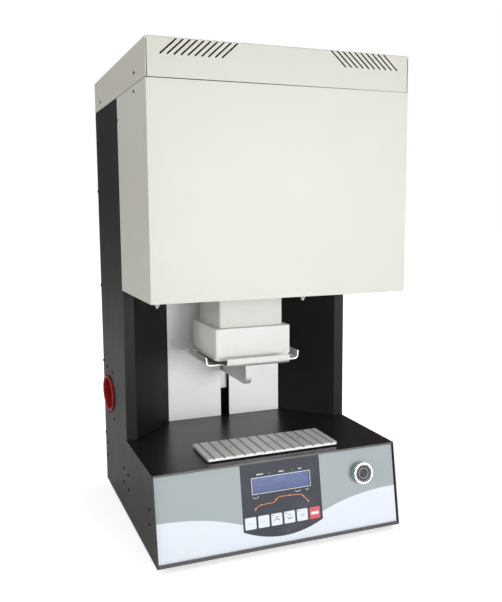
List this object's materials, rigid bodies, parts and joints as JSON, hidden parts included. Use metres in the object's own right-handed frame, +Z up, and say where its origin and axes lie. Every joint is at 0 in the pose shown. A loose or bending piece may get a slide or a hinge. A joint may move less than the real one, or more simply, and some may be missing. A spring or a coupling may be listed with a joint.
{
  "type": "dental lab sintering furnace",
  "caption": "Bench-top sintering furnace with a hearth that lifts into the head, a slanted control panel and a cooling plate.",
  "frame": {"origin": "middle of the footprint, on the surface that the feet stand on", "axes": "+Z up, +X to the right and +Y to the rear, so the control panel faces -Y"},
  "size_m": [0.4082, 0.387, 0.739],
  "materials": {
    "cream_paint": "satin powder coat",
    "black_paint": "satin powder coat",
    "white_paint": "satin paint",
    "aluminium": "satin",
    "steel": "rolled sheet",
    "chrome": "polished",
    "ceramic_fibre": "chalky, matte",
    "heating_element": "oxidised",
    "rubber": "matte",
    "red_plastic": "satin moulded",
    "panel_film": "fine textured film",
    "key_white": "satin",
    "key_red": "satin",
    "clear_window": "clear",
    "black_plastic": "moulded",
    "circuit_board": "solder mask",
    "copper_winding": "varnished"
  },
  "bodies": {
    "cabinet": {"side_panel_left": "black_paint", "side_panel_right": "black_paint", "base_pan": "black_paint", "base_top": "black_paint", "front_panel": "steel", "panel_film": "panel_film", "display_window": "clear_window", "display_module": "black_plastic", "control_board": "circuit_board", "column_wall_left": "black_paint", "column_wall_right": "black_paint", "back_panel": "white_paint", "rear_panel": "black_paint", "head_shell": "cream_paint", "top_cover": "cream_paint", "head_floor": "cream_paint", "throat_ring": "ceramic_fibre", "hot_zone_walls": "ceramic_fibre", "chamber_roof": "ceramic_fibre", "heating_element_left": "heating_element", "heating_element_right": "heating_element", "thermocouple": "ceramic_fibre", "chamber_stud_left": "steel", "chamber_stud_right": "steel", "grip_left": "red_plastic", "grip_right": "red_plastic", "foot_1": "rubber", "foot_2": "rubber", "foot_3": "rubber", "foot_4": "rubber", "cooling_plate": "aluminium", "lift_backplate": "steel", "lift_bracket_lower": "aluminium", "lift_bracket_upper": "aluminium", "guide_rod_left": "chrome", "guide_rod_right": "chrome", "lift_motor": "black_paint", "transformer": "copper_winding", "power_controller": "aluminium", "knob_encoder": "black_plastic", "fan_frame": "black_plastic", "power_inlet": "black_plastic", "switch_frame": "black_plastic"},
    "lift": {"lift_carriage": "aluminium", "lift_nut": "copper_winding", "lift_arm": "aluminium", "lift_tray": "steel", "lower_block": "ceramic_fibre", "upper_block": "ceramic_fibre"},
    "screw": {"lead_screw": "steel"},
    "knob_body": {"knob": "chrome", "knob_face": "black_plastic"},
    "rocker": {"switch_rocker": "black_plastic"},
    "rotor": {"fan_rotor": "black_plastic"},
    "key_1_body": {"key_1": "key_white"},
    "key_2_body": {"key_2": "key_white"},
    "key_3_body": {"key_3": "key_white"},
    "key_4_body": {"key_4": "key_white"},
    "key_5_body": {"key_5": "key_white"},
    "key_stop_body": {"key_stop": "key_red"}
  },
  "joints": [
    {"name": "lift_slide", "type": "slide", "parent": "cabinet", "child": "lift", "axis": [0, 0, 1], "range_m": [-0.075, 0.067]},
    {"name": "screw_turn", "type": "hinge", "parent": "cabinet", "child": "screw", "pos_m": [0, 0.1265, 0.096], "axis": [0, 0, 1], "range_deg": [-2701, 2413]},
    {"name": "knob_turn", "type": "hinge", "parent": "cabinet", "child": "knob_body", "pos_m": [0.1365, -0.17557, 0.09807], "axis": [0, -0.9861, 0.1664], "continuous": true},
    {"name": "rocker_tilt", "type": "hinge", "parent": "cabinet", "child": "rocker", "pos_m": [0.08, 0.1848, 0.06], "axis": [1, 0, 0], "range_deg": [-16, 0]},
    {"name": "fan_spin", "type": "hinge", "parent": "cabinet", "child": "rotor", "pos_m": [0, 0.1765, 0.568], "axis": [0, 1, 0], "continuous": true},
    {"name": "key_1_press", "type": "slide", "parent": "cabinet", "child": "key_1_body", "axis": [0, 0.9861, -0.1664], "range_m": [0, 0.0005], "stiffness_N_per_m": 900},
    {"name": "key_2_press", "type": "slide", "parent": "cabinet", "child": "key_2_body", "axis": [0, 0.9861, -0.1664], "range_m": [0, 0.0005], "stiffness_N_per_m": 900},
    {"name": "key_3_press", "type": "slide", "parent": "cabinet", "child": "key_3_body", "axis": [0, 0.9861, -0.1664], "range_m": [0, 0.0005], "stiffness_N_per_m": 900},
    {"name": "key_4_press", "type": "slide", "parent": "cabinet", "child": "key_4_body", "axis": [0, 0.9861, -0.1664], "range_m": [0, 0.0005], "stiffness_N_per_m": 900},
    {"name": "key_5_press", "type": "slide", "parent": "cabinet", "child": "key_5_body", "axis": [0, 0.9861, -0.1664], "range_m": [0, 0.0005], "stiffness_N_per_m": 900},
    {"name": "key_stop_press", "type": "slide", "parent": "cabinet", "child": "key_stop_body", "axis": [0, 0.9861, -0.1664], "range_m": [0, 0.0005], "stiffness_N_per_m": 900}
  ],
  "couplings": [
    {"joint": "screw_turn", "follows": "lift_slide", "rad_per_m": 628.32}
  ]
}
